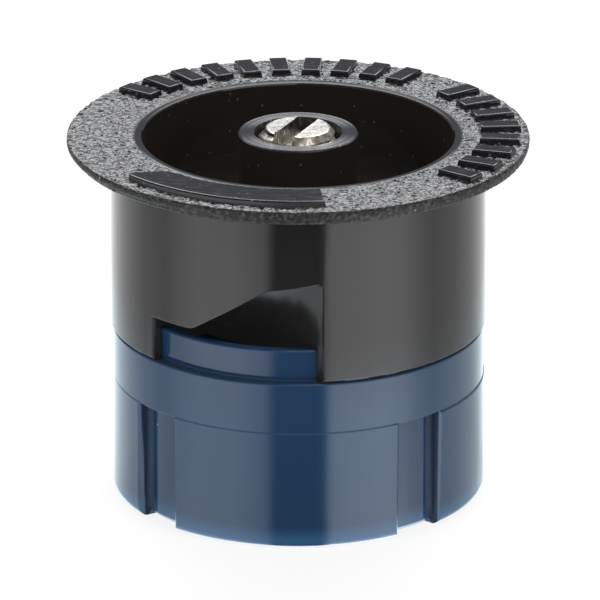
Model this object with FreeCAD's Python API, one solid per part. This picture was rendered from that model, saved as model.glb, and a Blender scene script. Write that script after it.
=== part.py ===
import FreeCAD, Part
import math
import os

# Fixed-pattern strip nozzle of a pop-up sprinkler, in millimetres.
# The axis is Z, the foot stands at z = 0, and the spray leaves towards -Y.
# Angles on the nozzle are counted from -Y, positive towards +X.

# Flange and skirt of the black cap
flange_radius = 14.0
flange_thickness = 0.9
flange_edge_bevel = 0.15
skirt_radius = 11.36
skirt_wall = 0.66
skirt_length = 10.99
skirt_foot_bevel = 0.12

# Cup in the cap's top, with the hub that carries the radius screw
cup_radius = 9.49
cup_depth = 4.36
cup_lip_width = 0.5
cup_lip_drop = 0.12
cup_lip_bevel = 0.08
cup_floor_bevel = 0.15
hub_radius = 3.63
hub_rise = 0.15
hub_edge_bevel = 0.1
counterbore_radius = 2.7
counterbore_depth = 3.9

# Raised bar on the flange, over the sprayed sector
bar_inner_radius = 10.68
bar_outer_radius = 13.0
bar_height = 0.4
bar_draft = 0.05
bar_end_angle = 7.3
bar_chord = 8.0

# Plain raised ribs on the flange, in a run at the back and a run at the right
rib_length = 2.5
rib_width = 1.2
rib_height = 0.4
rib_draft = 0.06
rib_edge_margin = 0.5
back_run_first_angle = 148.0
back_run_last_angle = 232.0
back_run_count = 10
side_run_first_angle = 52.0
side_run_last_angle = 127.0
side_run_count = 8

# Spray window: the sides, the stepped roof and the scoop that turns the jet
window_left_angle = -50.1
window_right_angle = 7.8
window_facing = -21.0
roof_low_height = 2.88
roof_step_start = -2.55
roof_step_end = 2.26
roof_ramp_angle = 32.0
roof_tip_angle = 8.9
roof_round = 1.0
window_corner_round = 0.3
jamb_margin = 0.02
chamber_back_radius = 8.0
scoop_start_angle = -30.0
scoop_hollow = 0.35

# Cored cells that keep the cap's walls thin
core_wall = 0.9
core_hub_radius = 4.6
core_roof = 1.2
core_cells = 5
core_rib = 0.9

# Blue threaded base
base_height = 10.53
band_radius = 11.2
pad_height = 7.36
pad_proud = 0.1
pad_foot_round = 0.5
recess_count = 4
recess_angle = 15.5
recess_first_angle = -49.5
recess_floor_radius = 10.57
recess_foot_round = 0.3
recess_corner_round = 0.35
rim_wall = 0.6
rim_height = 1.93
rim_edge_bevel = 0.1
shoulder_bevel = 0.08

# Riser thread, drawn smooth at its major radius, and the deck over it
thread_radius = 8.5
thread_length = 6.5
lead_in = 0.5
relief_depth = 0.3
relief_height = 2.16
deck_thickness = 2.5
boss_radius = 3.6
boss_length = 1.0
orifice_width = 0.7
orifice_span = 15.0

# Stainless radius screw, its shank drawn smooth at the root of the thread
screw_length = 15.875
screw_crown_radius = 2.34
screw_crown_length = 1.86
screw_chamfer = 0.47
screw_chamfer_height = 0.6
screw_root_radius = 1.95
screw_tip_taper = 0.6
screw_proud = 0.35
slot_width = 1.2
slot_depth = 1.1
slot_angle = 66.0

# Clearances between the pieces
rim_gap = 0.05
core_gap = 0.1
screw_gap = 0.05
base_bore_gap = 0.16

# Levels and radii that follow from the sizes above
shoulder_z = base_height
flange_top_z = shoulder_z + skirt_length + flange_thickness
flange_under_z = shoulder_z + skirt_length
cup_floor_z = flange_top_z - cup_depth
hub_top_z = flange_top_z + hub_rise
counterbore_floor_z = hub_top_z - counterbore_depth
deck_under_z = thread_length + relief_height
deck_top_z = deck_under_z + deck_thickness
rim_top_z = shoulder_z + rim_height
skirt_inner_radius = skirt_radius - skirt_wall
rim_radius = skirt_inner_radius - rim_gap
core_radius = rim_radius - rim_wall - core_gap
relief_radius = thread_radius + relief_depth
screw_bore_radius = screw_root_radius + screw_gap
base_bore_radius = screw_crown_radius + base_bore_gap
screw_top_z = hub_top_z + screw_proud
pad_radius = band_radius + pad_proud
reach = flange_radius * 2.0


def polar(radius, angle, z=0.0):
    """Point at a radius and at an angle in degrees from -Y towards +X."""
    turn = math.radians(angle)
    return FreeCAD.Vector(radius * math.sin(turn), -radius * math.cos(turn), z)


def outline_wire(corners, place):
    """Closed wire through (a, b, size) corners; place turns (a, b) into a point.

    A corner's size is the radius of its round, or the leg of its bevel if it is negative.
    """
    starts, middles, ends = [], [], []
    for number, (a, b, size) in enumerate(corners):
        corner = FreeCAD.Vector(a, b, 0)
        back = FreeCAD.Vector(*corners[number - 1][:2], 0) - corner
        ahead = FreeCAD.Vector(*corners[(number + 1) % len(corners)][:2], 0) - corner
        half = back.getAngle(ahead) / 2
        inward = (back.normalize() + ahead.normalize()).normalize()
        leg = size / math.tan(half) if size > 0 else -size
        starts.append(corner + back * leg)
        ends.append(corner + ahead * leg)
        middles.append(corner + inward * (size / math.sin(half) - size))
    edges = []
    for number, (_, _, size) in enumerate(corners):
        start = place(starts[number])
        end = place(ends[number])
        if size > 0:
            edges.append(Part.Arc(start, place(middles[number]), end).toShape())
        elif size < 0:
            edges.append(Part.makeLine(start, end))
        following = place(starts[(number + 1) % len(corners)])
        if end.distanceToPoint(following) > 1e-6:
            edges.append(Part.makeLine(end, following))
    return Part.Wire(edges)


def turned(corners):
    """Solid of revolution about Z from (radius, height, size) corners."""
    profile = outline_wire(corners, lambda p: FreeCAD.Vector(p.x, 0, p.y))
    return Part.Face(profile).revolve(FreeCAD.Vector(), FreeCAD.Vector(0, 0, 1), 360)


def sector(inner, outer, first_angle, last_angle, bottom, top):
    """Ring sector between two radii, two angles and two levels."""
    middle_angle = (first_angle + last_angle) / 2
    outer_arc = Part.Arc(
        polar(outer, first_angle, bottom),
        polar(outer, middle_angle, bottom),
        polar(outer, last_angle, bottom),
    ).toShape()
    inner_arc = Part.Arc(
        polar(inner, first_angle, bottom),
        polar(inner, middle_angle, bottom),
        polar(inner, last_angle, bottom),
    ).toShape()
    sides = [
        Part.makeLine(polar(inner, angle, bottom), polar(outer, angle, bottom))
        for angle in (first_angle, last_angle)
    ]
    outline = Part.Wire(Part.__sortEdges__([outer_arc, inner_arc, *sides]))
    return Part.Face(outline).extrude(FreeCAD.Vector(0, 0, top - bottom))


def cap_shell():
    """Flange, cup, hub, skirt and core as one turned moulding."""
    return turned([
        (skirt_inner_radius, shoulder_z, 0),
        (skirt_radius, shoulder_z, -skirt_foot_bevel),
        (skirt_radius, flange_under_z, 0),
        (flange_radius, flange_under_z, -flange_edge_bevel),
        (flange_radius, flange_top_z, -flange_edge_bevel),
        (cup_radius + cup_lip_width, flange_top_z, 0),
        (cup_radius, flange_top_z - cup_lip_drop, -cup_lip_bevel),
        (cup_radius, cup_floor_z, -cup_floor_bevel),
        (hub_radius, cup_floor_z, -cup_floor_bevel),
        (hub_radius, hub_top_z, -hub_edge_bevel),
        (counterbore_radius, hub_top_z, 0),
        (counterbore_radius, counterbore_floor_z, 0),
        (screw_bore_radius, counterbore_floor_z, 0),
        (screw_bore_radius, deck_top_z, 0),
        (core_radius, deck_top_z, 0),
        (core_radius, rim_top_z + core_gap, 0),
        (skirt_inner_radius, rim_top_z + core_gap, 0),
    ])


def bar_outline(level, draft):
    """Outline of the flange bar: a ring sector whose left end is a straight chord."""
    inner = bar_inner_radius + draft
    outer = bar_outer_radius - draft
    chord = bar_chord + draft
    end_angle = bar_end_angle - math.degrees(draft / bar_inner_radius)
    tip_angle = -math.degrees(math.acos(chord / outer))
    heel_angle = -math.degrees(math.acos(chord / inner))
    outer_arc = Part.Arc(
        polar(outer, end_angle, level),
        polar(outer, (end_angle + tip_angle) / 2, level),
        polar(outer, tip_angle, level),
    ).toShape()
    chord_edge = Part.makeLine(polar(outer, tip_angle, level), polar(inner, heel_angle, level))
    inner_arc = Part.Arc(
        polar(inner, heel_angle, level),
        polar(inner, (end_angle + heel_angle) / 2, level),
        polar(inner, end_angle, level),
    ).toShape()
    end_edge = Part.makeLine(polar(inner, end_angle, level), polar(outer, end_angle, level))
    return Part.Wire([outer_arc, chord_edge, inner_arc, end_edge])


def flange_bar():
    """Raised bar with drafted sides, standing on the flange."""
    foot = bar_outline(flange_top_z, 0.0)
    crest = bar_outline(flange_top_z + bar_height, bar_draft)
    return Part.makeLoft([foot, crest], True, True)


def flange_ribs():
    """Plain drafted ribs on the flange, laid radially in two runs."""
    outer = flange_radius - rib_edge_margin
    levels = ((flange_top_z, 0.0), (flange_top_z + rib_height, rib_draft))
    outlines = []
    for level, draft in levels:
        near = outer - rib_length + draft
        far = outer - draft
        half = rib_width / 2 - draft
        corners = [(-half, near), (-half, far), (half, far), (half, near), (-half, near)]
        outlines.append(Part.makePolygon([FreeCAD.Vector(x, -y, level) for x, y in corners]))
    rib = Part.makeLoft(outlines, True, True)
    runs = (
        (back_run_first_angle, back_run_last_angle, back_run_count),
        (side_run_first_angle, side_run_last_angle, side_run_count),
    )
    ribs = []
    for first, last, count in runs:
        for number in range(count):
            placed = rib.copy()
            angle = first + (last - first) * number / max(count - 1, 1)
            placed.rotate(FreeCAD.Vector(), FreeCAD.Vector(0, 0, 1), angle)
            ribs.append(placed)
    return ribs


def chamber_plan():
    """Plan of the spray chamber: radial left side, round back, hollow scoop."""
    outside = reach / 2
    left_mouth = polar(outside, window_left_angle, shoulder_z)
    left_back = polar(chamber_back_radius, window_left_angle, shoulder_z)
    back_middle = polar(chamber_back_radius, (window_left_angle + scoop_start_angle) / 2, shoulder_z)
    scoop_start = polar(chamber_back_radius, scoop_start_angle, shoulder_z)
    jamb = polar(skirt_radius, window_right_angle, shoulder_z)
    chord = jamb - scoop_start
    hollow = FreeCAD.Vector(-chord.y, chord.x, 0).normalize() * scoop_hollow
    scoop_middle = (scoop_start + jamb) / 2 + hollow
    scoop = Part.Arc(scoop_start, scoop_middle, jamb)
    heading = scoop.tangent(scoop.LastParameter)[0]
    right_mouth = jamb + heading * (outside - skirt_radius)
    return Part.Face(Part.Wire([
        Part.makeLine(left_mouth, left_back),
        Part.Arc(left_back, back_middle, scoop_start).toShape(),
        scoop.toShape(),
        Part.makeLine(jamb, right_mouth),
        Part.Arc(right_mouth, polar(outside, window_facing, shoulder_z), left_mouth).toShape(),
    ]))


def roof_prism():
    """Room under the stepped roof and left of the jamb, drawn along the window's facing."""
    low_z = shoulder_z + roof_low_height
    high_z = low_z + (roof_step_end - roof_step_start) * math.tan(math.radians(roof_ramp_angle))
    jamb = skirt_radius * math.sin(math.radians(window_right_angle - window_facing)) + jamb_margin
    jamb_z = high_z + (jamb - roof_step_end) * math.tan(math.radians(roof_tip_angle))
    facing = polar(1.0, window_facing)
    sideways = polar(1.0, window_facing + 90.0)
    outline = outline_wire(
        [
            (-reach, shoulder_z, 0),
            (-reach, low_z, 0),
            (roof_step_start, low_z, roof_round),
            (roof_step_end, high_z, roof_round),
            (jamb, jamb_z, window_corner_round),
            (jamb, shoulder_z, 0),
        ],
        lambda p: sideways * p.x + FreeCAD.Vector(0, 0, p.y) + facing * reach,
    )
    return Part.Face(outline).extrude(facing * -reach)


def spray_chamber():
    """Everything that the window and the chamber behind it take out of the cap."""
    return chamber_plan().extrude(FreeCAD.Vector(0, 0, reach)).common(roof_prism())


def cored_cells():
    """Closed cells beside the chamber, with ribs between them."""
    outer = core_radius - core_wall
    rib_angle = math.degrees(core_rib / outer)
    first = window_right_angle + rib_angle
    pitch = (360.0 + window_left_angle - window_right_angle - rib_angle) / core_cells
    ceiling = cup_floor_z - core_roof
    return [
        sector(
            core_hub_radius,
            outer,
            first + number * pitch,
            first + (number + 1) * pitch - rib_angle,
            deck_top_z,
            ceiling,
        )
        for number in range(core_cells)
    ]


def nozzle_cap():
    """Black cap: flange with its bar and ribs, cup, hub, skirt with the spray window, and core."""
    moulding = cap_shell().fuse([flange_bar(), *flange_ribs()]).removeSplitter()
    return moulding.cut([spray_chamber(), *cored_cells()])


def grip_recesses():
    """Room between the grip pads, with rounded corners at the pads and on its floor."""
    room = turned([
        (recess_floor_radius - recess_foot_round, -recess_foot_round, 0),
        (reach, -recess_foot_round, 0),
        (reach, pad_height, 0),
        (recess_floor_radius, pad_height, 0),
        (recess_floor_radius, recess_foot_round, 0),
        (recess_floor_radius - recess_foot_round, 0, 0),
    ])
    half = math.radians(recess_angle / 2)
    flare = 4 * recess_corner_round
    right_side = [
        (thread_radius * math.sin(half), thread_radius * math.cos(half), 0),
        (pad_radius * math.sin(half), pad_radius * math.cos(half), recess_corner_round),
        (
            pad_radius * math.sin(half) + flare * math.cos(half),
            pad_radius * math.cos(half) - flare * math.sin(half),
            0,
        ),
        (pad_radius * math.sin(half) + flare * math.cos(half), reach, 0),
    ]
    left_side = [(-across, along, size) for across, along, size in reversed(right_side)]
    outline = outline_wire(
        right_side + left_side,
        lambda p: FreeCAD.Vector(p.x, -p.y, -recess_foot_round),
    )
    prism = Part.Face(outline).extrude(FreeCAD.Vector(0, 0, pad_height + recess_foot_round))
    recess = room.common(prism)
    corners = [
        edge
        for edge in recess.Edges
        if abs(edge.tangentAt(edge.FirstParameter).z) > 0.99
        and abs(math.hypot(edge.CenterOfMass.x, edge.CenterOfMass.y) - recess_floor_radius) < 0.01
    ]
    recess = recess.makeFillet(recess_corner_round, corners)
    recesses = []
    for number in range(recess_count):
        placed = recess.copy()
        angle = recess_first_angle + number * 360.0 / recess_count
        placed.rotate(FreeCAD.Vector(), FreeCAD.Vector(0, 0, 1), angle)
        recesses.append(placed)
    return recesses


def threaded_base():
    """Blue base: threaded foot with grip pads, deck, boss and locating rim."""
    body = turned([
        (thread_radius + lead_in, 0, 0),
        (pad_radius, 0, pad_foot_round),
        (pad_radius, pad_height, 0),
        (band_radius, pad_height, 0),
        (band_radius, shoulder_z, -shoulder_bevel),
        (rim_radius, shoulder_z, 0),
        (rim_radius, rim_top_z, -rim_edge_bevel),
        (rim_radius - rim_wall, rim_top_z, -rim_edge_bevel),
        (rim_radius - rim_wall, deck_top_z, 0),
        (base_bore_radius, deck_top_z, 0),
        (base_bore_radius, deck_under_z - boss_length, 0),
        (boss_radius, deck_under_z - boss_length, 0),
        (boss_radius, deck_under_z, 0),
        (relief_radius, deck_under_z, 0),
        (relief_radius, thread_length + relief_depth, 0),
        (thread_radius, thread_length, 0),
        (thread_radius, lead_in, 0),
    ])
    orifice_outer = relief_radius - core_gap / 2
    orifice = sector(
        orifice_outer - orifice_width,
        orifice_outer,
        window_left_angle + (scoop_start_angle - window_left_angle - orifice_span) / 2,
        scoop_start_angle - (scoop_start_angle - window_left_angle - orifice_span) / 2,
        deck_under_z - boss_length,
        deck_top_z + boss_length,
    )
    return body.cut([*grip_recesses(), orifice])


def radius_screw():
    """Slotted stainless screw that throttles the nozzle from above."""
    tip_z = screw_top_z - screw_length
    crown_under_z = screw_top_z - screw_crown_length
    body = turned([
        (0, tip_z, 0),
        (screw_root_radius - screw_tip_taper, tip_z, 0),
        (screw_root_radius, tip_z + screw_tip_taper, 0),
        (screw_root_radius, crown_under_z, 0),
        (screw_crown_radius, crown_under_z, 0),
        (screw_crown_radius, screw_top_z - screw_chamfer_height, 0),
        (screw_crown_radius - screw_chamfer, screw_top_z, 0),
        (0, screw_top_z, 0),
    ])
    slot = Part.makeBox(
        reach,
        slot_width,
        slot_depth + screw_proud,
        FreeCAD.Vector(-reach / 2, -slot_width / 2, screw_top_z - slot_depth),
    )
    slot.rotate(FreeCAD.Vector(), FreeCAD.Vector(0, 0, 1), slot_angle)
    return body.cut(slot)


def write_part(name, shape):
    """Write one node's STEP file and say how large it is."""
    if len(shape.Solids) != 1 or not shape.isValid():
        raise ValueError(f"{name} should be one valid solid, not {len(shape.Solids)}")
    shape.Solids[0].exportStep(f"parts/{name}.step")
    box = shape.optimalBoundingBox()
    print(name, round(box.XLength, 2), round(box.YLength, 2), round(box.ZLength, 2), round(shape.Volume, 1))


os.makedirs("parts", exist_ok=True)
write_part("nozzle_cap", nozzle_cap())
write_part("threaded_base", threaded_base())
write_part("radius_screw", radius_screw())
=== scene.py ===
import math

import bmesh
import bpy
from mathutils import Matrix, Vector, noise


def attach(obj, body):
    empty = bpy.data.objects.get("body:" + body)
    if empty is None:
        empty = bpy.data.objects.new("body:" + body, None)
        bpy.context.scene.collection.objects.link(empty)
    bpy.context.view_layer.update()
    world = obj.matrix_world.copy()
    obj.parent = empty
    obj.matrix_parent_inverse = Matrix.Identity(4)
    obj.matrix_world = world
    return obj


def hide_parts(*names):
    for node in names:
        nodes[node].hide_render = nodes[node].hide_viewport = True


# Strip spray nozzle of a pop-up sprinkler: black cap, blue threaded base, steel radius screw.
# Lengths in the dictionaries are millimetres, as on the part's drawing.
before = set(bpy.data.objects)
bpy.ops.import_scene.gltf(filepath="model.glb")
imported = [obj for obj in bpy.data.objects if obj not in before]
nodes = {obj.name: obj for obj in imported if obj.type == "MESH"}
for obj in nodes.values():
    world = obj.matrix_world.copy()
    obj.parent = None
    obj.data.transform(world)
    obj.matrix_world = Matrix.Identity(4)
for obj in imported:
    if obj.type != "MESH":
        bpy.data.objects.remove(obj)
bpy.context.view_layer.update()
mm = 0.001
white = (1.0, 1.0, 1.0, 1.0)
print("frame loaded:", ", ".join(sorted(nodes)))


def setSocket(tree, socket, value):
    if isinstance(value, bpy.types.NodeSocket):
        tree.links.new(value, socket)
    else:
        socket.default_value = value


def feed(tree, node, **values):
    # Sockets by their names with underscores: a socket as value is linked, anything else is set
    for name, value in values.items():
        setSocket(tree, node.inputs[name.replace("_", " ")], value)


def addNode(tree, kind, *sources, **values):
    # Settings are in lower case, sockets are named as in feed, and the sources fill the sockets in turn
    node = tree.nodes.new("ShaderNode" + kind)
    for name, value in values.items():
        if hasattr(node, name):
            setattr(node, name, value)
        else:
            feed(tree, node, **{name: value})
    for socket, source in zip(node.inputs, sources):
        setSocket(tree, socket, source)
    return node


def calculate(tree, operation, *sources):
    return addNode(tree, "Math", *sources, operation=operation).outputs[0]


def scaleAndAdd(tree, source, factor, more):
    return calculate(tree, "MULTIPLY_ADD", source, factor, more)


def multiply(tree, product, *others):
    for other in others:
        product = calculate(tree, "MULTIPLY", product, other)
    return product


def smoothRange(tree, source, low, high, start=0.0, end=1.0):
    limits = {"From_Min": low, "From_Max": high, "To_Min": start, "To_Max": end}
    return addNode(tree, "MapRange", interpolation_type="SMOOTHSTEP", Value=source, **limits).outputs[0]


def mixColours(tree, factor, first, second, blend="MIX"):
    # Colours may be sockets or fixed values
    node = addNode(tree, "Mix", data_type="RGBA", blend_type=blend)
    for number, value in ((0, factor), (6, first), (7, second)):
        setSocket(tree, node.inputs[number], value)
    return node.outputs[2]


def axes(tree, vector):
    return addNode(tree, "SeparateXYZ", vector).outputs


def clearTree(owner):
    owner.use_nodes = True
    owner.node_tree.nodes.clear()
    return owner.node_tree


def addObject(name, data):
    thing = bpy.data.objects.new(name, data)
    bpy.context.scene.collection.objects.link(thing)
    return thing


view = {
    "place": (0.0, -488.204, 193.824),
    "downTilt": 20.457,
    "lens": 514.09,
    "sensor": 36.0,
    "shiftX": 0.0031,
}


def addCamera():
    data = bpy.data.cameras.new("productCamera")
    data.lens = view["lens"]
    data.sensor_width = view["sensor"]
    data.shift_x = view["shiftX"]
    data.clip_start = 0.01
    data.clip_end = 20.0
    camera = addObject("productCamera", data)
    camera.location = [value * mm for value in view["place"]]
    camera.rotation_euler = (math.radians(90.0 - view["downTilt"]), 0.0, 0.0)
    bpy.context.scene.camera = camera


# Studio round the nozzle: a dim tent, darker in front and overhead, with a bright panel high behind and a
# lighter strip low at the front left. Heights and turns are shares of a ray's way up, back and to the right.
tent = {
    "colour": (0.97, 0.98, 1.0, 1.0),
    "lowColour": (0.9, 0.95, 1.06, 1.0),
    "lowFrom": (0.4, 0.3),
    "front": 0.2,
    "back": 0.27,
    "turnBack": (-0.2, 0.5),
    "overhead": 0.3,
    "overheadFrom": (0.75, 0.95),
    "panelStrength": 8.3,
    "panelRise": (0.35, 0.7),
    "panelFall": (0.82, 0.93),
    "panelSides": (0.5, 0.95),
    "stripStrength": 0.85,
    "stripHeight": (0.3, 0.16),
    "stripBehind": (0.1, -0.3),
    "stripLeft": (-0.06, -0.2),
}

# Two square soft boxes in front, kept out of reflections, and a card over the front right that the steel
# shows: turn from the front and height angle in degrees, side in metres, radiance, in reflections or not
softBoxes = {
    "distance": 0.6,
    "colour": (1.0, 0.97, 0.9),
    "lamps": {
        "softBoxLeft": (-52.0, 32.0, 0.36, 4.2, False),
        "softBoxRight": (52.0, 32.0, 0.36, 4.2, False),
        "steelCard": (42.0, 60.0, 0.42, 1.3, True),
    },
}


def addTent():
    world = bpy.data.worlds.new("studioTent")
    bpy.context.scene.world = world
    tree = clearTree(world)
    ray = axes(tree, addNode(tree, "TexCoord").outputs["Generated"])
    height = ray["Z"]
    reach = calculate(tree, "SQRT", calculate(tree, "SUBTRACT", 1.0, calculate(tree, "POWER", height, 2.0)))
    reach = calculate(tree, "MAXIMUM", reach, 0.001)
    behind = calculate(tree, "DIVIDE", ray["Y"], reach)
    sideways = calculate(tree, "DIVIDE", ray["X"], reach)
    walls = smoothRange(tree, behind, *tent["turnBack"], tent["front"], tent["back"])
    over = smoothRange(tree, height, *tent["overheadFrom"], 1.0, tent["overhead"])
    panel = multiply(
        tree,
        smoothRange(tree, height, *tent["panelRise"]),
        smoothRange(tree, height, *tent["panelFall"], 1.0, 0.0),
        smoothRange(tree, behind, *tent["panelSides"]),
    )
    strip = multiply(
        tree,
        smoothRange(tree, height, *tent["stripHeight"]),
        smoothRange(tree, behind, *tent["stripBehind"]),
        smoothRange(tree, sideways, *tent["stripLeft"]),
    )
    light = scaleAndAdd(tree, panel, tent["panelStrength"], multiply(tree, walls, over))
    light = scaleAndAdd(tree, strip, tent["stripStrength"], light)
    low = smoothRange(tree, height, *tent["lowFrom"])
    tint = mixColours(tree, low, tent["colour"], tent["lowColour"])
    tentShader = addNode(tree, "Background", Color=tint, Strength=light).outputs[0]
    whiteShader = addNode(tree, "Background", Color=white, Strength=1.0).outputs[0]
    fromCamera = addNode(tree, "LightPath").outputs["Is Camera Ray"]
    pick = addNode(tree, "MixShader", fromCamera, tentShader, whiteShader)
    addNode(tree, "OutputWorld", Surface=pick.outputs[0])


def addSoftBoxes():
    for name, (turn, height, side, radiance, mirrored) in softBoxes["lamps"].items():
        turn, height = math.radians(turn), math.radians(height)
        level = math.cos(height)
        towards = Vector((math.sin(turn) * level, -math.cos(turn) * level, math.sin(height)))
        data = bpy.data.lights.new(name, "AREA")
        data.shape = "SQUARE"
        data.size = side
        data.energy = radiance * math.pi * side * side
        if mirrored:
            data.color = softBoxes["colour"]
        lamp = addObject(name, data)
        lamp.location = towards * softBoxes["distance"]
        lamp.rotation_euler = towards.to_track_quat("Z", "Y").to_euler()
        lamp.visible_glossy = mirrored


# Floor: white paper. What gloss sees is a painted reflection: for glossy rays the paper glows, dark in a
# wedge in front of the nozzle and bright on either side of it.
table = {
    "side": 3000.0,
    "drop": 0.02,
    "paper": 0.9,
    "shadowShare": 0.16,
    "darkWedgePoint": -5.7,
    # Turn from the front in degrees, left below zero: how bright the painted reflection of the paper is, and
    # how much more near by
    "glow": [
        (-180, 1.7, 1.25), (-152, 1.65, 1.25), (-128, 1.2, 1.3), (-104, 0.90, 1.24), (-86, 0.90, 1.17),
        (-76, 1.40, 1.1), (-62, 1.85, 1.08), (-40, 1.90, 1.08), (-24, 1.45, 1.05), (-19.5, 1.15, 1.0),
        (-16, 0.45, 1.0), (-13.5, 0.12, 1.0), (12.8, 0.12, 1.0), (15.8, 0.40, 1.0), (18.6, 1.25, 1.25),
        (21.5, 2.0, 1.3), (34, 2.1, 1.38), (52, 2.25, 1.4), (66, 2.0, 1.3), (78, 1.30, 1.1),
        (88, 0.88, 1.16), (104, 0.86, 1.25), (124, 0.95, 1.15), (140, 1.2, 1.3), (160, 1.6, 1.25),
        (180, 1.7, 1.25),
    ],
    "glowTop": 2.3,
    "nearTop": 1.4,
    "near": (30.0, 47.0),
    # Tints of the painted reflection near the nozzle and to its sides
    "nearColour": (0.92, 1.04, 1.17, 1.0),
    "sideColour": (0.91, 1.04, 1.08, 1.0),
    "sideFrom": (1.2, 1.6),
}


def turnRamp(tree, share, stops, top):
    # Grey ramp over turns from -180 to 180 degrees
    ramp = addNode(tree, "ValToRGB", share)
    elements = ramp.color_ramp.elements
    while len(elements) < len(stops):
        elements.new(0.5)
    for element, (degrees, value) in zip(elements, stops):
        element.position = degrees / 360.0 + 0.5
        element.color = (value / top,) * 3 + (1.0,)
    return multiply(tree, ramp.outputs[0], top)


def paintedFloorReflection(tree):
    # Painted reflection: what gloss sees of the floor, by the turn round the dark wedge's point; the share is
    # a half in front
    spot = addNode(tree, "TexCoord").outputs["Object"]
    place = axes(tree, spot)
    ahead = calculate(tree, "SUBTRACT", table["darkWedgePoint"] * mm, place["Y"])
    turn = calculate(tree, "ARCTAN2", place["X"], ahead)
    share = scaleAndAdd(tree, turn, 0.5 / math.pi, 0.5)
    glow = turnRamp(tree, share, [(row[0], row[1]) for row in table["glow"]], table["glowTop"])
    gain = turnRamp(tree, share, [(row[0], row[2]) for row in table["glow"]], table["nearTop"])
    distance = addNode(tree, "VectorMath", spot, operation="LENGTH").outputs["Value"]
    nearBy = smoothRange(tree, distance, *[value * mm for value in table["near"]], 1.0, 0.0)
    more = scaleAndAdd(tree, calculate(tree, "SUBTRACT", gain, 1.0), nearBy, 1.0)
    aside = smoothRange(tree, calculate(tree, "ABSOLUTE", turn), *table["sideFrom"])
    cool = mixColours(tree, aside, table["nearColour"], table["sideColour"])
    tint = mixColours(tree, nearBy, white, cool)
    return addNode(tree, "Emission", Strength=multiply(tree, glow, more), Color=tint).outputs[0]


def addFloor():
    half = table["side"] / 2 * mm
    mesh = bpy.data.meshes.new("studioFloor")
    corners = [(-half, -half, 0), (half, -half, 0), (half, half, 0), (-half, half, 0)]
    mesh.from_pydata(corners, [], [(0, 1, 2, 3)])
    floor = addObject("studioFloor", mesh)
    floor.location.z = -table["drop"] * mm
    paper = bpy.data.materials.new("floorPaper")
    tree = clearTree(paper)
    paper.cycles.emission_sampling = "NONE"
    diffuse = addNode(tree, "BsdfDiffuse", Color=(table["paper"],) * 3 + (1.0,)).outputs[0]
    plain = addNode(tree, "Emission", Color=white, Strength=1.0).outputs[0]
    seen = addNode(tree, "MixShader", table["shadowShare"], plain, diffuse).outputs[0]
    path = addNode(tree, "LightPath").outputs
    shown = addNode(tree, "MixShader", path["Is Camera Ray"], diffuse, seen).outputs[0]
    shown = addNode(tree, "MixShader", path["Is Glossy Ray"], shown, paintedFloorReflection(tree)).outputs[0]
    addNode(tree, "OutputMaterial", Surface=shown)
    floor.data.materials.append(paper)


addCamera()
addTent()
addSoftBoxes()
addFloor()
print("camera, tent, soft boxes and floor set")


groups = {}


def newGroup(name, outputs, **inputs):
    # The group, its own inputs and its output node; a tuple as start value makes a vector input
    group = groups[name] = bpy.data.node_groups.new(name, "ShaderNodeTree")
    for key, value in inputs.items():
        kind = "NodeSocketVector" if isinstance(value, tuple) else "NodeSocketFloat"
        socket = group.interface.new_socket(key.replace("_", " "), in_out="INPUT", socket_type=kind)
        socket.default_value = value
    for key in outputs:
        kind = "NodeSocketVector" if key == "Normal" else "NodeSocketFloat"
        group.interface.new_socket(key, in_out="OUTPUT", socket_type=kind)
    return group, group.nodes.new("NodeGroupInput").outputs, group.nodes.new("NodeGroupOutput")


def millimetres(tree):
    # The piece's own place in millimetres, so that scales below are per millimetre
    place = addNode(tree, "TexCoord").outputs["Object"]
    return addNode(tree, "VectorMath", place, operation="SCALE", Scale=1.0 / mm).outputs[0]


def addNoise(tree, **values):
    return addNode(tree, "TexNoise", Vector=millimetres(tree), **values).outputs[0]


def surfaceNormal(tree):
    return addNode(tree, "NewGeometry").outputs["Normal"]


def makeSoftEdges():
    # Rounded edge normals, and a mask that is 1 on an edge
    group, given, out = newGroup("softEdges", ("Normal", "Mask"), Radius=0.0001)
    bevel = addNode(group, "Bevel", samples=6, Radius=given["Radius"]).outputs[0]
    dot = addNode(group, "VectorMath", bevel, surfaceNormal(group), operation="DOT_PRODUCT").outputs["Value"]
    feed(group, out, Normal=bevel, Mask=smoothRange(group, dot, 0.995, 0.8))


def addBump(tree, height, normal=None, distance=mm):
    bump = addNode(tree, "Bump", Strength=1.0, Distance=distance, Height=height)
    if normal is not None:
        feed(tree, bump, Normal=normal)
    return bump.outputs[0]


def makeMouldedSkin():
    # Slow sink marks and fine orange peel of a moulding
    waves = {"Sink_Scale": 0.35, "Sink_Height": 0.004, "Peel_Scale": 4.0, "Peel_Height": 0.0003}
    group, given, out = newGroup("mouldedSkin", ("Normal",), Normal=(0.0, 0.0, 0.0), **waves)
    normal = given["Normal"]
    for word in ("Sink", "Peel"):
        texture = addNoise(group, Detail=2.0, Scale=given[word + " Scale"])
        normal = addBump(group, multiply(group, texture, given[word + " Height"]), normal)
    feed(group, out, Normal=normal)


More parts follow.
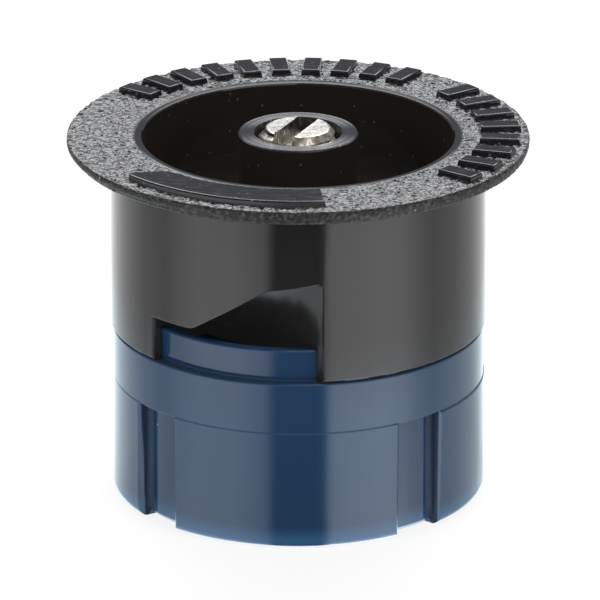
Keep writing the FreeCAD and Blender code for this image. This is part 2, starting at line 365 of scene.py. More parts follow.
def makeTurnedRings():
    # Fine rings round the axis, as a lathe leaves them in a mould or on a screw; Slope is how steep they get
    inputs = {"Normal": (0.0, 0.0, 0.0), "Spacing": 0.06, "Slope": 0.1}
    group, given, out = newGroup("turnedRings", ("Normal",), **inputs)
    flat = addNode(group, "VectorMath", millimetres(group), (1.0, 1.0, 0.0), operation="MULTIPLY").outputs[0]
    radius = addNode(group, "VectorMath", flat, operation="LENGTH").outputs["Value"]
    rings = calculate(group, "DIVIDE", radius, given["Spacing"])
    drift = addNode(group, "TexNoise", noise_dimensions="1D", Scale=0.3, Detail=2.0, W=rings).outputs[0]
    phase = scaleAndAdd(group, rings, math.tau, multiply(group, drift, 12.0))
    depth = multiply(group, given["Spacing"], calculate(group, "DIVIDE", given["Slope"], math.tau))
    height = multiply(group, calculate(group, "SINE", phase), depth)
    feed(group, out, Normal=addBump(group, height, given["Normal"]))


def makeDustSpecks():
    # Scattered pale specks; Share is how many of the cells hold one
    group, given, out = newGroup("dustSpecks", ("Mask",), Scale=2.0, Size=0.12, Share=0.3)
    cells = addNode(group, "TexVoronoi", Vector=millimetres(group), Scale=given["Scale"]).outputs
    near = calculate(group, "LESS_THAN", cells["Distance"], given["Size"])
    pick = addNode(group, "SeparateColor", cells["Color"]).outputs[0]
    feed(group, out, Mask=multiply(group, near, calculate(group, "LESS_THAN", pick, given["Share"])))


def makeFineScratches():
    # Thin scratches: only the crests of a stretched noise show
    inputs = {"Scale": 3.0, "Stretch": (1.0, 1.0, 0.06), "Edge": 0.68}
    group, given, out = newGroup("fineScratches", ("Mask",), **inputs)
    pull = addNode(group, "VectorMath", millimetres(group), given["Stretch"], operation="MULTIPLY").outputs[0]
    texture = addNode(group, "TexNoise", Detail=3.0, Roughness=0.6, Vector=pull, Scale=given["Scale"])
    lift = multiply(group, calculate(group, "SUBTRACT", texture.outputs[0], given["Edge"]), 14.0)
    feed(group, out, Mask=addNode(group, "Clamp", lift).outputs[0])


def makeCornerGrime():
    # 1 in deep corners, 0 in the open
    group, given, out = newGroup("cornerGrime", ("Mask",), Reach=0.0005)
    shade = addNode(group, "AmbientOcclusion", samples=8, Distance=given["Reach"]).outputs["AO"]
    patches = smoothRange(group, addNoise(group, Scale=3.0, Detail=3.0), 0.3, 0.6)
    feed(group, out, Mask=multiply(group, smoothRange(group, shade, 0.75, 0.3), patches))


makeSoftEdges()
makeMouldedSkin()
makeTurnedRings()
makeDustSpecks()
makeFineScratches()
makeCornerGrime()
print("shader groups made:", ", ".join(groups))


def placeGroup(tree, name, **values):
    return addNode(tree, "Group", node_tree=groups[name], **values).outputs


def softNormal(tree, radius):
    return placeGroup(tree, "softEdges", Radius=radius * mm)["Normal"]


def newFinish(name):
    material = bpy.data.materials.new(name)
    tree = clearTree(material)
    shader = addNode(tree, "BsdfPrincipled")
    addNode(tree, "OutputMaterial", Surface=shader.outputs[0])
    return material, tree, shader


# Black moulded plastic, in the states the cap shows; a faint painted glow lifts its blacks, warm in the cup
# and stronger in the chamber
blackPlastic = {
    "colour": (0.0078, 0.0076, 0.0075, 1.0),
    "warm": (0.0088, 0.0071, 0.0061, 1.0),
    "paintedGlow": 0.0034,
    "coolGlowColour": (0.9, 0.88, 0.88, 1.0),
    "warmGlowColour": (1.0, 0.86, 0.76, 1.0),
    "ior": 1.5,
    "gloss": {"roughness": 0.06, "edge": 0.1, "sink": 0.004, "peel": 0.0002, "dust": 0.04, "dustShare": 0.02},
    "cup": {"roughness": 0.05, "edge": 0.03, "sink": 0.003, "peel": 0.0002, "dust": 0.05, "dustShare": 0.5},
    "chamber": {"roughness": 0.2, "edge": 0.5, "sink": 0.006, "peel": 0.001, "dust": 0.04, "dustShare": 0.02,
                "paintedGlow": 0.0056},
    "bore": {"roughness": 0.5, "edge": 0.1, "sink": 0.02, "peel": 0.01, "dust": 0.2, "dustShare": 0.9,
             "base": (0.018, 0.013, 0.009, 1.0), "worn": (0.1, 0.075, 0.055, 1.0),
             "wornAlong": (1.0, 1.0, 0.7)},
    "raised": {"roughness": 0.065, "edge": 0.05, "sink": 0.003, "peel": 0.002, "dust": 0.1, "dustShare": 0.8,
               "ior": 1.41, "base": (0.0068, 0.0066, 0.0088, 1.0), "worn": (0.018, 0.0175, 0.0225, 1.0),
               "wornAlong": (0.35, 2.2, 1.0)},
    # The bar's front wall: a paler copy of the raised finish, painted light
    "wall": {"roughness": 0.25, "edge": 0.05, "sink": 0.003, "peel": 0.004, "dust": 0.1, "dustShare": 0.3,
             "base": (0.03, 0.03, 0.03, 1.0)},
    "turned": {"roughness": 0.1, "edge": 0.06, "rings": 0.07, "ringSlope": 0.3, "dust": 0.2,
               "dustShare": 0.15, "base": (0.011, 0.0116, 0.0155, 1.0)},
    "grain": {"roughness": 0.3, "fineScale": 11.0, "fineHeight": 0.008, "dust": 0.2, "dustShare": 0.03,
              "chalk": (0.04, 0.04, 0.038, 1.0), "chalkScale": 4.0},
    "side": {"roughness": 0.5, "fineScale": 11.0, "fineHeight": 0.012, "dust": 0.25, "dustShare": 0.08,
             "ior": 1.33, "base": (0.0084, 0.0078, 0.0076, 1.0), "chalk": (0.043, 0.042, 0.04, 1.0),
             "chalkScale": 4.0},
}


def blackBase(name, state):
    material, tree, shader = newFinish(name)
    warm, dust = state is blackPlastic["cup"], state["dust"]
    specks = placeGroup(tree, "dustSpecks", Scale=1.6, Size=0.12, Share=state["dustShare"])
    plain = state.get("base", blackPlastic["warm" if warm else "colour"])
    colour = mixColours(tree, specks[0], plain, (dust, dust * 0.98, dust * 0.93, 1.0))
    # Painted glow: a faint emission that lifts the black
    feed(
        tree,
        shader,
        IOR=state.get("ior", blackPlastic["ior"]),
        Emission_Color=blackPlastic["warmGlowColour" if warm else "coolGlowColour"],
        Emission_Strength=state.get("paintedGlow", blackPlastic["paintedGlow"]),
    )
    return material, tree, shader, colour


def smoothBlack(name, state):
    material, tree, shader, colour = blackBase(name, state)
    waves = {"Sink_Height": state["sink"], "Peel_Height": state["peel"]}
    skin = placeGroup(tree, "mouldedSkin", Normal=softNormal(tree, state["edge"]), **waves)
    if "worn" in state:
        scratches = placeGroup(tree, "fineScratches", Scale=3.4, Stretch=state["wornAlong"], Edge=0.55)
        colour = mixColours(tree, scratches[0], colour, state["worn"])
    else:
        scratches = placeGroup(tree, "fineScratches", Scale=2.5, Edge=0.7)
    rough = scaleAndAdd(tree, scratches[0], 0.08, state["roughness"])
    feed(tree, shader, Base_Color=colour, Normal=skin[0], Roughness=rough)
    return material


def turnedBlack(name, state):
    material, tree, shader, colour = blackBase(name, state)
    turned = {"Spacing": state["rings"], "Slope": state["ringSlope"]}
    rings = placeGroup(tree, "turnedRings", Normal=softNormal(tree, state["edge"]), **turned)
    feed(tree, shader, Base_Color=colour, Normal=rings[0], Roughness=state["roughness"])
    return material


def grainBlack(name, state):
    material, tree, shader, colour = blackBase(name, state)
    scale, height = state["fineScale"], state["fineHeight"]
    peel = {"Peel_Scale": scale, "Peel_Height": height * 0.5}
    skin = placeGroup(tree, "mouldedSkin", Sink_Scale=scale * 0.45, Sink_Height=height, **peel)
    # The flange's side is chalky in patches
    upright = smoothRange(tree, axes(tree, surfaceNormal(tree))["Z"], 0.5, 0.2)
    patches = smoothRange(tree, addNoise(tree, Scale=state["chalkScale"], Detail=3.0), 0.45, 0.7)
    chalky = multiply(tree, upright, patches)
    colour = mixColours(tree, chalky, colour, state["chalk"])
    feed(tree, shader, Base_Color=colour, Normal=skin[0], Roughness=state["roughness"])
    return material


# Blue base: glossy; the light that passes through its edges and foot is painted into its colour
bluePlastic = {
    "colour": (0.0098, 0.0315, 0.074, 1.0),
    "paintedEdgeLight": (0.019, 0.07, 0.16, 1.0),
    "paintedFootLight": (0.03, 0.1, 0.22, 1.0),
    "dust": (0.3, 0.33, 0.38, 1.0),
    "roughness": 0.09,
    "edge": 0.12,
    "ior": 1.5,
    "footHeight": 1.5,
    "groove": {"colour": (0.014, 0.034, 0.068, 1.0), "grime": (0.03, 0.036, 0.046, 1.0), "roughness": 0.35,
               "ior": 1.28},
}


def glossBlue():
    material, tree, shader = newFinish("blueGloss")
    edges = placeGroup(tree, "softEdges", Radius=bluePlastic["edge"] * mm)
    waves = {"Sink_Scale": 0.4, "Sink_Height": 0.006, "Peel_Scale": 5.0, "Peel_Height": 0.0003}
    skin = placeGroup(tree, "mouldedSkin", Normal=edges["Normal"], **waves)
    specks = placeGroup(tree, "dustSpecks", Scale=1.3, Size=0.07, Share=0.01)
    # Painted highlight: a lighter blue on the rounded edges
    colour = mixColours(tree, edges["Mask"], bluePlastic["colour"], bluePlastic["paintedEdgeLight"])
    # Painted light: the foot gets lighter towards the table, as if the white table shone through it
    foot = smoothRange(tree, axes(tree, millimetres(tree))["Z"], bluePlastic["footHeight"], 0.0)
    colour = mixColours(tree, foot, colour, bluePlastic["paintedFootLight"])
    colour = mixColours(tree, specks[0], colour, bluePlastic["dust"])
    scratches = placeGroup(tree, "fineScratches", Scale=2.0, Edge=0.7)
    rough = scaleAndAdd(tree, scratches[0], 0.15, bluePlastic["roughness"])
    feed(tree, shader, IOR=bluePlastic["ior"], Base_Color=colour, Normal=skin[0], Roughness=rough)
    return material


def groovedBlue():
    # Painted shade: a dim, dull finish for the grip recesses' inner corners, the shoulder and the right pads'
    # tops, with patches of settled dirt
    state = bluePlastic["groove"]
    material, tree, shader = newFinish("blueGroove")
    dirt = addNoise(tree, Scale=2.6, Detail=5.0, Roughness=0.7)
    settled = smoothRange(tree, dirt, 0.42, 0.66)
    rough = scaleAndAdd(tree, settled, 0.3, state["roughness"])
    colour = mixColours(tree, settled, state["colour"], state["grime"])
    normal = addBump(tree, dirt, distance=0.04 * mm)
    feed(tree, shader, IOR=state["ior"], Base_Color=colour, Normal=normal, Roughness=rough)
    return material


# Stainless steel of the screw, turned, a little worn, with grime in its corners; painted shade darkens its
# flat top and the cone's left side
steel = {
    "colour": (0.68, 0.66, 0.62, 1.0),
    "scratched": (0.62, 0.6, 0.57, 1.0),
    "sides": (0.28, 0.25, 0.21, 1.0),
    "paintedSideShade": (0.13, 0.116, 0.095, 1.0),
    "grime": (0.42, 0.34, 0.27, 1.0),
    "worn": (0.46, 0.45, 0.43, 1.0),
    "grimeReach": 0.5,
    "edge": 0.04,
    "roughness": 0.27,
    "rings": 0.08,
    "ringSlope": 0.08,
}


def turnedSteel():
    material, tree, shader = newFinish("turnedSteel")
    turned = {"Spacing": steel["rings"], "Slope": steel["ringSlope"]}
    normal = placeGroup(tree, "turnedRings", Normal=softNormal(tree, steel["edge"]), **turned)[0]
    waves = {"Sink_Scale": 2.5, "Sink_Height": 0.014, "Peel_Scale": 9.0, "Peel_Height": 0.002}
    skin = placeGroup(tree, "mouldedSkin", Normal=normal, **waves)
    scratches = placeGroup(tree, "fineScratches", Scale=4.0, Stretch=(1.0, 0.35, 0.5), Edge=0.47)[0]
    grime = placeGroup(tree, "cornerGrime", Reach=steel["grimeReach"] * mm)[0]
    facing = axes(tree, surfaceNormal(tree))
    slope = smoothRange(tree, facing["Z"], 0.93, 0.75)
    sides = multiply(tree, slope, smoothRange(tree, addNoise(tree, Scale=2.2, Detail=4.0), 0.62, 0.4))
    # Painted shade: the cone's left side is darker all over
    shadedSide = multiply(tree, slope, smoothRange(tree, facing["X"], -0.15, -0.4))
    # Painted shade: the flat top is a darker grey
    flats = smoothRange(tree, facing["Z"], 0.93, 0.98)
    shade = mixColours(tree, flats, steel["colour"], steel["worn"])
    shade = mixColours(tree, scratches, shade, steel["scratched"], "MULTIPLY")
    for mask, key in ((sides, "sides"), (shadedSide, "paintedSideShade"), (grime, "grime")):
        shade = mixColours(tree, mask, shade, steel[key])
    rough = scaleAndAdd(tree, scratches, 0.15, steel["roughness"])
    metal = scaleAndAdd(tree, grime, -0.8, 1.0)
    feed(tree, shader, Base_Color=shade, Metallic=metal, Normal=skin[0], Roughness=rough)
    return material


capFinishes = ("gloss", "grain", "side", "turned", "cup", "chamber", "raised", "wall", "bore")
blackMakers = {"grain": grainBlack, "side": grainBlack, "turned": turnedBlack}
finishes = {"blue": glossBlue(), "groove": groovedBlue(), "steel": turnedSteel()}
for key in capFinishes:
    finishes[key] = blackMakers.get(key, smoothBlack)("black" + key.capitalize(), blackPlastic[key])
print("finishes made")


# Steps that the pieces share; lengths in millimetres
def clamp(value, low=0.0, high=1.0):
    return min(max(value, low), high)


def near(value, goal, by=0.02):
    return abs(value - goal) < by


def halfNoise(point, scale):
    return 0.5 + 0.5 * noise.noise(point * scale)


def reachOf(vertex):
    return vertex.co.xy.length / mm


def middleOf(face):
    return face.calc_center_median() / mm


def pushOut(vertex, by):
    # Straight away from the axis
    vertex.co.xy *= 1.0 + by / reachOf(vertex)


def aroundAxis(reach, turn, height):
    return Vector((reach * math.cos(turn), reach * math.sin(turn), height))


def turnsOf(columns):
    return [math.tau * column / columns for column in range(columns)]


def addRing(bm, points):
    return [bm.verts.new(point * mm) for point in points]


def bridgeRings(bm, rings):
    # Quads between each ring and the next
    made = []
    for first, second in zip(rings, rings[1:]):
        for column in range(len(first)):
            after = (column + 1) % len(first)
            made.append(bm.faces.new((first[column], second[column], second[after], first[after])))
    return made


def closeTube(bm, rings):
    bridgeRings(bm, rings)
    bm.faces.new(rings[0])
    bm.faces.new(rings[-1])
    bmesh.ops.recalc_face_normals(bm, faces=bm.faces)


def openEdges(bm):
    return [edge for edge in bm.edges if edge.is_boundary]


def roundEdges(bm, edges, radius, segments):
    bmesh.ops.bevel(bm, geom=edges, offset=radius * mm, segments=segments, profile=0.5, affect="EDGES")


def sharpenEdges(bm, angle, flatTurn=4.0, flatTimes=5.0):
    # Smooth faces, with edges kept sharp where they turn far, or where a large flat meets its rounding;
    # faces that have a finish already are one curved wall
    for edge in bm.edges:
        turn = math.degrees(edge.calc_face_angle(0.0))
        areas = sorted(face.calc_area() for face in edge.link_faces)
        flatBeside = turn > flatTurn and len(areas) == 2 and areas[1] > flatTimes * areas[0]
        flatBeside = flatBeside and not all(face.material_index for face in edge.link_faces)
        edge.smooth = turn < angle and not flatBeside and not edge.is_boundary
    for face in bm.faces:
        face.smooth = True


def copyOfSolid(name):
    bm = bmesh.new()
    bm.from_mesh(nodes[name].data)
    bmesh.ops.remove_doubles(bm, verts=bm.verts, dist=1e-6)
    return bm


def meshOf(name, bm):
    mesh = bpy.data.meshes.new(name)
    bm.to_mesh(mesh)
    bm.free()
    return mesh


def addPiece(name, bm, body, materials):
    mesh = meshOf(name, bm)
    for key in materials:
        mesh.materials.append(finishes[key])
    piece = addObject(name, mesh)
    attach(piece, body)
    return piece


# Cap: the CAD moulding with its flange skin remade as fine pebbled plastic
cap = {
    "flangeTop": 22.42,
    "flangeUnder": 21.52,
    "flangeRadius": 13.985,
    # The flange's old skin: how far below the top, from what radius, and where the new underside starts
    "skinDepth": 0.11,
    "skinFrom": 13.8,
    "underFrom": 13.5,
    "lipInner": 9.57,
    "lipRows": ((9.84, 22.41), (9.875, 22.36), (9.91, 22.36)),
    "lipStep": 0.03,
    "lipHeight": 0.25,
    "lipMore": 0.07,
    "lipRise": 0.07,
    "cupRadius": 9.49,
    "cupFloor": 18.06,
    "hubRadius": 3.63,
    "boreRadius": 2.75,
    "boreFrom": 18.7,
    "floorBevel": 0.15,
    "chamberTop": 17.6,
    "chamberFoot": 11.16,
    "chamberRadius": 11.2,
    "skirtRadius": 11.36,
    "skirtFoot": 10.53,
    "skirtDraft": (0.03, 0.08),
    "footBevel": 0.12,
    "footBevelMore": 0.12,
    "columns": 1440,
    "rowStep": 0.052,
    "pitDepth": 0.125,
    # The grain's middle level, and the scale, strength and shift of each noise in it
    "grainLevel": 0.75,
    "grainNoise": ((2.1, 0.9, (0.0, 0.0, 0.0)), (4.1, 0.8, (7.0, 3.0, 1.0)), (9.0, 0.3, (1.0, 9.0, 4.0))),
    "grainFade": 0.08,
    "sideFrom": 13.6,
    "sideDepth": 0.42,
    "sideFiner": 2.2,
    "sideLean": (0.14, 0.2),
    "edgeRound": 0.06,
    "edgeRows": 4,
    "footRound": 0.3,
    "footRows": 7,
    # Wear of the lower edge: share of the side it starts at, turns in degrees, and depths at left and right
    "wearFrom": 0.4,
    "footWear": 0.1,
    "wornFrom": -75.0,
    "wornTo": -20.0,
    "wornFade": 8.0,
    "wornLeast": 0.25,
    "sideWear": (0.14, 0.04),
    "sideWearFrom": 20.0,
    "sideWearFade": 40.0,
    "smoothAngle": 20.0,
}

# Scoop's wall: how far its foot leans back and how it is cut. Its ceiling is the lower of two lines, each
# given by a height, a distance to the left and a slope. The lean fades out to the right over two ramps.
scoop = {
    "facing": (-0.615, -0.788, 0.0),
    "facingLeast": 0.85,
    "inner": 7.95,
    "outerGap": 0.05,
    "lean": 1.08,
    "bend": 0.3,
    "step": 0.35,
    "sideCuts": 36,
    "rowFrom": 0.02,
    "rowStep": 0.5,
    "rows": 11,
    "ceiling": ((14.22, 4.0, 0.726), (16.31, 1.12, 0.231)),
    "fade": (3.2, 5.8),
    "endFade": (1.4, 1.5),
}

# Bar and ribs on the flange, taken from the CAD: how deep they stand in the grain, and their top edge
relief = {
    "inner": 10.1,
    "lower": 0.09,
    "sunk": 0.12,
    "edgeRound": 0.09,
    "edgeDepth": 0.07,
    # All of the bar lies in front of this, and the left end left of it
    "barSide": -5.0,
    "barFoot": 13.0,
    "wallFrom": 12.8,
    "footMore": 0.04,
    "backRadius": 10.63,
    "backMore": 0.08,
    "backDip": 0.05,
    "chord": 8.0,
    # Turns from the front of the bar's left end, at its nose and heel, in degrees
    "tipTurns": (52.8, 46.2),
    "heelWithin": 12.0,
    "tipLength": 3.2,
    "tipRound": 0.6,
}


def grainHeight(point):
    # 1 on the crowns, 0 at the bottom of a pit
    level = cap["grainLevel"]
    for scale, strength, shift in cap["grainNoise"]:
        level += strength * noise.noise(point * scale + Vector(shift))
    return clamp(level)


def quarterRound(radius, height, size, start, rows):
    # Share, place and outward direction of each row of a quarter round about its middle, from a start angle
    for number in range(rows):
        share = number / (rows - 1)
        turn = math.radians(start - 90.0 * number / (rows - 1))
        outR, outZ = math.cos(turn), math.sin(turn)
        yield share, (radius + size * outR, height + size * outZ, outR, outZ)


def flangeProfile():
    # Rows of (radius, height, outward radius, outward height, grain, wear), lip to underside
    top, under = cap["flangeTop"], cap["flangeUnder"]
    outer, step = cap["flangeRadius"], cap["rowStep"]
    edge, foot = cap["edgeRound"], cap["footRound"]
    upper, lower = cap["sideLean"]
    widest = upper / (upper + lower)
    bulge = (top - under) * (upper + lower) / 2.0
    crown, sole = outer - bulge * widest**2, outer - bulge * (1.0 - widest) ** 2
    rows = [(radius, height, 0.0, 1.0, 0.0, 0.0) for radius, height in cap["lipRows"]]
    lip = rows[-1][0] + cap["lipStep"]
    count = round((crown - edge - lip) / step)
    for number in range(count):
        radius = lip + (crown - edge - lip) * number / count
        fade = min((radius - lip) / cap["grainFade"], 1.0)
        rows.append((radius, top, 0.0, 1.0, fade, 0.0))
    for _, row in quarterRound(crown - edge, top - edge, edge, 90.0, cap["edgeRows"]):
        rows.append((*row, 1.0, 0.0))
    drop = top - under - edge - foot
    count = round(drop / step)
    for number in range(1, count):
        share = number / count
        radius = outer - bulge * (share - widest) ** 2
        wear = clamp((share - cap["wearFrom"]) / (1.0 - cap["wearFrom"])) ** 2
        rows.append((radius, top - edge - drop * share, 1.0, 0.0, cap["sideDepth"], wear))
    for share, row in quarterRound(sole - foot, under + foot, foot, 0.0, cap["footRows"]):
        rows.append((*row, cap["sideDepth"] * (1.0 - share**3), 1.0))
    return rows


def footWear(turn):
    # How much of the flange's lower edge is torn away; turn in degrees from the front
    inside = min(turn - cap["wornFrom"], cap["wornTo"] - turn)
    share = clamp(inside / cap["wornFade"], cap["wornLeast"])
    coarse = noise.noise(Vector((turn * 0.4, 2.0, 5.0)))
    fine = noise.noise(Vector((turn * 1.1, 4.0, 1.0)))
    torn = clamp(0.5 + 0.8 * coarse + 0.6 * fine)
    aside = clamp((abs(turn) - cap["sideWearFrom"]) / cap["sideWearFade"])
    return cap["footWear"] * share * torn + cap["sideWear"][turn > 0] * aside


def angleOf(vertex):
    return math.atan2(vertex.co.y, vertex.co.x) % math.tau


def zipRings(bm, *rings):
    # Triangles between two rings of vertices round the axis
    rings = [sorted(ring, key=angleOf) for ring in rings]
    ends = [[angleOf(v) for v in ring[1:]] + [math.tau + angleOf(ring[0]), math.inf] for ring in rings]
    at = [0, 0]
    made = []
    while min(ends[0][at[0]], ends[1][at[1]]) < math.inf:
        a, b = [ring[number % len(ring)] for ring, number in zip(rings, at)]
        side = 0 if ends[0][at[0]] <= ends[1][at[1]] else 1
        at[side] += 1
        made.append(bm.faces.new((a, rings[side][at[side] % len(rings[side])], b)))
    return made


def finishCapFaces(bm):
    # Gloss outside and on the lip, turned rings on the hub, and the darker cup and chamber
    for face in bm.faces:
        height = middleOf(face).z
        reaches = [reachOf(vertex) for vertex in face.verts]
        name = "gloss"
        if max(reaches) < cap["boreRadius"] and height > cap["boreFrom"]:
            name = "bore"
        elif max(reaches) < cap["hubRadius"] + 0.01 and height > cap["flangeTop"]:
            name = "turned"
        elif max(reaches) < cap["cupRadius"] + 0.01 and height > cap["chamberTop"]:
            name = "cup"
        elif min(reaches) < cap["chamberRadius"] and height < cap["chamberTop"]:
            name = "chamber"
        face.material_index = capFinishes.index(name)


def pressFlange(bm, lipRing, underRing):
    # The flange's pebbled skin, pebbles pressed inward from the outside size
    columns = cap["columns"]
    sideTop = cap["flangeTop"] - cap["edgeRound"]
    turns = turnsOf(columns)
    wears = [footWear(math.degrees(turn) % 360.0 - 270.0) for turn in turns]
    rings = []
    for radius, height, outR, outZ, grain, wear in flangeProfile():
        points = []
        for turn, worn in zip(turns, wears):
            point = aroundAxis(radius, turn, height)
            press = 0.0
            if grain > 0:
                finer = cap["sideFiner"] if height < sideTop else 1.0
                press = (1.0 - grainHeight(point * finer)) * cap["pitDepth"] * grain
            points.append(point - aroundAxis(outR, turn, outZ) * (press + worn * wear))
        rings.append(addRing(bm, points))
    skin = bridgeRings(bm, rings)
    lip = skin[:columns] + zipRings(bm, lipRing, rings[0])
    skin += zipRings(bm, rings[-1], underRing)
    for face in skin:
        face.smooth = True
        onSide = middleOf(face).z < sideTop and reachOf(face.verts[0]) > cap["sideFrom"]
        face.material_index = capFinishes.index("side" if onSide else "grain")
    lipSet, firstSet = set(lipRing), set(rings[0])
    for face in lip:
        face.smooth = True
        face.material_index = capFinishes.index("gloss")
        for edge in face.edges:
            ends = set(edge.verts)
            edge.smooth = not (ends <= lipSet or ends <= firstSet)


def buildRaised(source):
    # The CAD's forms above the flange, closed below its grain, with fine rounded top edges
    bm = source.copy()
    rest = []
    for face in bm.faces:
        middle = middleOf(face)
        if middle.z < cap["flangeTop"] + 0.01 or middle.xy.length < relief["inner"]:
            rest.append(face)
    bmesh.ops.delete(bm, geom=rest, context="FACES")
    bmesh.ops.dissolve_limit(bm, angle_limit=math.radians(1.0), verts=bm.verts, edges=bm.edges)
    pushed = bmesh.ops.extrude_edge_only(bm, edges=openEdges(bm))["geom"]
    low = [item for item in pushed if isinstance(item, bmesh.types.BMVert)]
    bmesh.ops.translate(bm, verts=low, vec=(0, 0, -relief["sunk"] * mm))
    bmesh.ops.holes_fill(bm, edges=openEdges(bm))
    bmesh.ops.recalc_face_normals(bm, faces=bm.faces)
    bmesh.ops.translate(bm, verts=bm.verts, vec=(0, 0, -relief["lower"] * mm))
    top, side = max(v.co.z for v in bm.verts), relief["barSide"] * mm
    for vertex in bm.verts:
        reach, crest = reachOf(vertex), vertex.co.z > top - 1e-6
        if not crest and near(reach, relief["barFoot"]):
            pushOut(vertex, relief["footMore"])
        elif vertex.co.y < side and near(reach, relief["backRadius"], 0.07):
            pushOut(vertex, -relief["backMore"])
            vertex.co.z -= relief["backDip"] * mm * crest
    for vertex in bm.verts:
        if vertex.co.x < side and near(vertex.co.y / mm, -relief["chord"], 0.15):
            reach = vertex.co.xy.length
            turn = math.radians(relief["tipTurns"][reach < relief["heelWithin"] * mm])
            vertex.co.xy = (-reach * math.sin(turn), -reach * math.cos(turn))
    bar = {vertex for vertex in bm.verts if vertex.co.y < side}
    tip = min(vertex.co.x for vertex in bar) + relief["tipLength"] * mm
    upright = []
    for edge in bm.edges:
        first, second = edge.verts
        atTip = {first, second} <= bar and max(first.co.x, second.co.x) < tip
        if atTip and abs(first.co.z - second.co.z) > 0.2 * mm and edge.calc_face_angle(0.0) > 0.5:
            upright.append(edge)
    print("bar tip edges rounded:", len(upright))
    roundEdges(bm, upright, relief["tipRound"], 5)
    rimFoot = top - relief["edgeDepth"] * mm
    rim = [e for e in bm.edges if min(v.co.z for v in e.verts) > rimFoot and e.calc_face_angle(0.0) > 0.3]
    roundEdges(bm, rim, relief["edgeRound"], 4)
    sharpenEdges(bm, 35.0)
    # Painted light: the bar's front wall gets a paler, rougher finish than the rest
    bm.normal_update()
    for face in bm.faces:
        middle = middleOf(face)
        onBar = middle.y < relief["barSide"] and middle.xy.length > relief["wallFrom"]
        face.material_index = capFinishes.index("wall" if onBar and face.normal.z < 0.3 else "raised")
    return bm


def easeCapShape(bm):
    # The skirt's draft, a wider bevel at its foot, and a sharp corner round the cup's floor
    skirt, foot, bevel = cap["skirtRadius"], cap["skirtFoot"], cap["footBevel"]
    cup, hub, floor = cap["cupRadius"], cap["hubRadius"], cap["cupFloor"]
    under, lipFoot = cap["flangeUnder"], cap["flangeTop"] - cap["lipHeight"]
    more, small = cap["footBevelMore"], cap["floorBevel"]
    upper, lower = cap["skirtDraft"]
    for vertex in bm.verts:
        reach, height = reachOf(vertex), vertex.co.z / mm
        if near(reach, skirt) and height < under + 0.01:
            pushOut(vertex, upper + (lower - upper) * ((under - height) / (under - foot)))
            if foot < height < foot + bevel + 0.01:
                vertex.co.z += more * mm
        elif near(reach, skirt - bevel) and near(height, foot, 0.01):
            pushOut(vertex, lower - more)
        elif near(height, floor, 0.01):
            if near(reach, cup - small):
                pushOut(vertex, small)
            elif near(reach, hub + small):
                pushOut(vertex, -small)
        elif near(height, floor + small, 0.01) and hub - 0.1 < reach < cup + 0.1:
            vertex.co.z -= small * mm
        elif height > lipFoot and cup - 0.02 < reach < cap["lipInner"] + 0.02:
            pushOut(vertex, -cap["lipMore"])
            vertex.co.z += cap["lipRise"] * mm
    leanScoop(bm)
    bmesh.ops.remove_doubles(bm, verts=bm.verts, dist=5e-6)


def leanScoop(bm):
    # The scoop's wall leans back towards its foot, more to the left, cut fine enough to shade evenly
    facing, foot = Vector(scoop["facing"]), cap["chamberFoot"]
    outer = cap["skirtRadius"] - scoop["outerGap"]
    wall = []
    for face in bm.faces:
        inside = all(scoop["inner"] < reachOf(vertex) < outer for vertex in face.verts)
        inside = inside and middleOf(face).z < cap["chamberTop"]
        if inside and face.normal.dot(facing) > scoop["facingLeast"]:
            wall.append(face)
    geom = set(wall) | {e for f in wall for e in f.edges} | {v for f in wall for v in f.verts}
    along, upward = Vector((facing.y, -facing.x, 0.0)), Vector((0.0, 0.0, 1.0))
    cuts = []
    for number in range(-scoop["sideCuts"], scoop["sideCuts"] + 1):
        cuts.append((along * number * scoop["step"] * mm, along))
    for number in range(1, scoop["rows"] + 1):
        height = foot + scoop["rowFrom"] + number * scoop["rowStep"]
        cuts.append((Vector((0.0, 0.0, height * mm)), upward))
    for point, across in cuts:
        geom = bmesh.ops.bisect_plane(bm, geom=list(geom), dist=1e-7, plane_co=point, plane_no=across)["geom"]
    points = [item for item in geom if isinstance(item, bmesh.types.BMVert)]
    for item in geom:
        if isinstance(item, bmesh.types.BMFace):
            item.material_index = capFinishes.index("chamber")
    (start, width), (endStart, endWidth), bend = scoop["fade"], scoop["endFade"], scoop["bend"]
    for vertex in points:
        x, z = vertex.co.x / mm, vertex.co.z / mm
        ceiling = min(height + (x + left) * slope for height, left, slope in scoop["ceiling"])
        down = clamp((ceiling - z) / (ceiling - foot))
        share = clamp((start - x) / width)
        share = share * share * (3.0 - 2.0 * share) * clamp((endStart - x) / endWidth)
        vertex.co -= facing * scoop["lean"] * share * ((1.0 - bend) * down + bend * down * down) * mm
    print("scoop points leaned:", len(points))


